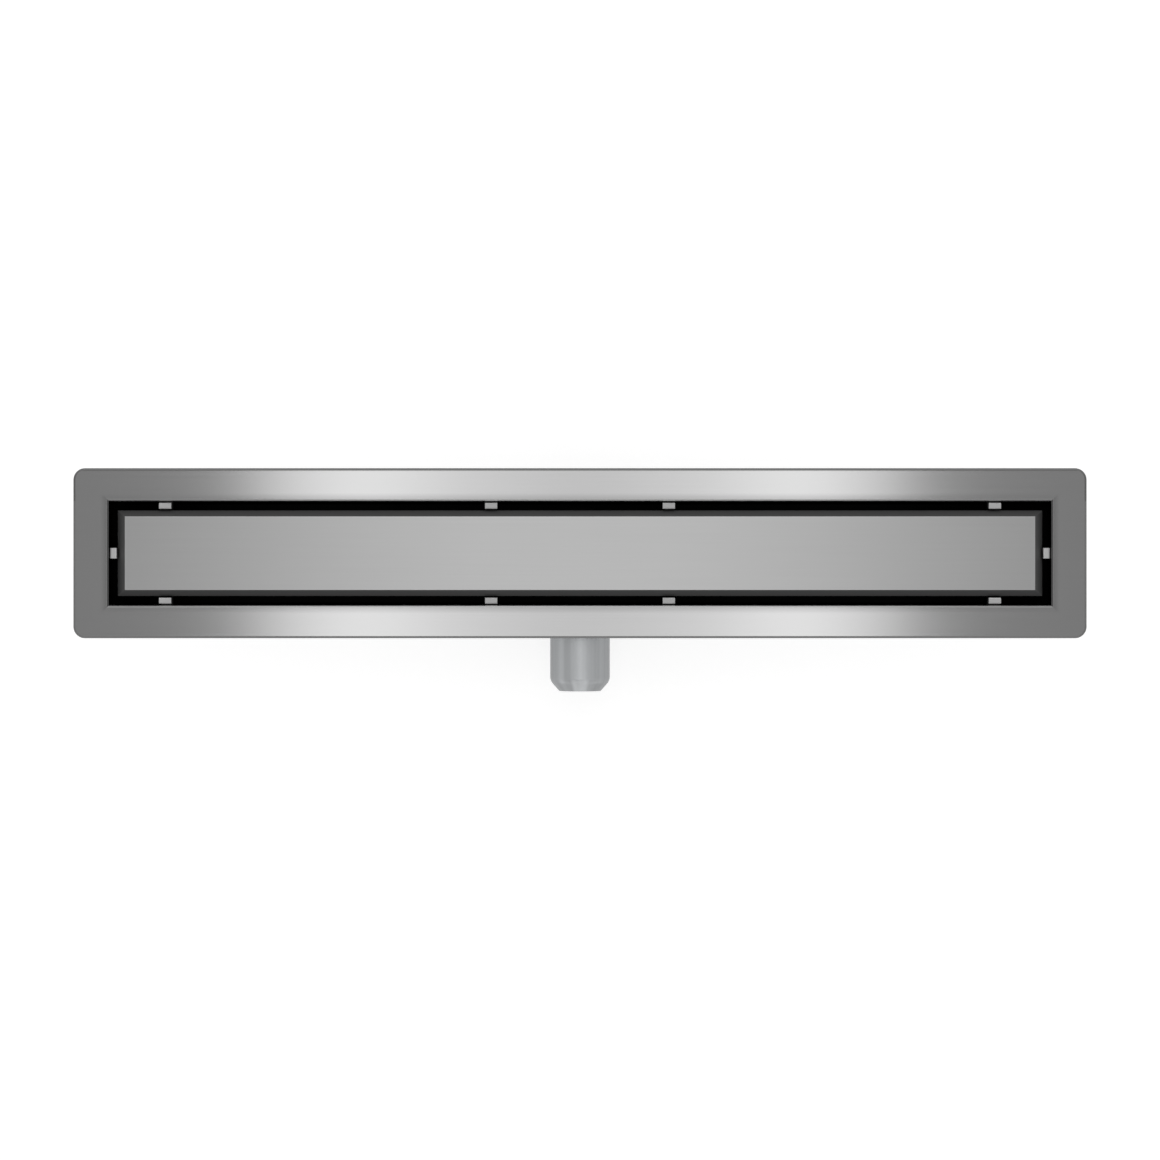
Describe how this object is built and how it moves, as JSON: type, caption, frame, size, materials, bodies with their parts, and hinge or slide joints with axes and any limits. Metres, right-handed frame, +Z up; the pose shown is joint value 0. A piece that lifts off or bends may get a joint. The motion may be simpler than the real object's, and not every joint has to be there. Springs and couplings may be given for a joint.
{
  "type": "linear shower drain",
  "caption": "Long stainless shower channel with a flange, a lift-out brushed cover centred by spacer clips, a sump with a removable trap, and a tapered side outlet.",
  "frame": {"origin": "centre of the sump's flat base", "axes": "+X along the channel, +Z up, outlet towards -Y"},
  "size_m": [0.7, 0.1553, 0.1055],
  "materials": {
    "channel_steel": "fine brushed along the length",
    "cover_steel": "satin brushed along the length",
    "pipe_steel": "satin, drawn",
    "bar_steel": "mill finish",
    "clip_steel": "satin, blanked strip",
    "trap_plastic": "moulded, fine matt",
    "strainer_plastic": "moulded, fine matt",
    "seal_rubber": "matt"
  },
  "bodies": {
    "root": {"channel": "channel_steel", "cover": "cover_steel", "sump": "pipe_steel", "sump_base": "pipe_steel", "outlet_spigot": "pipe_steel", "trap_cup": "trap_plastic", "dip_tube": "trap_plastic", "trap_o_ring": "seal_rubber", "hair_strainer": "strainer_plastic", "support_bar_1": "bar_steel", "spacer_clip_front_1": "clip_steel", "spacer_clip_back_1": "clip_steel", "support_bar_2": "bar_steel", "spacer_clip_front_2": "clip_steel", "spacer_clip_back_2": "clip_steel", "support_bar_3": "bar_steel", "spacer_clip_front_3": "clip_steel", "spacer_clip_back_3": "clip_steel", "support_bar_4": "bar_steel", "spacer_clip_front_4": "clip_steel", "spacer_clip_back_4": "clip_steel", "spacer_clip_left": "clip_steel", "spacer_clip_right": "clip_steel"}
  },
  "joints": []
}
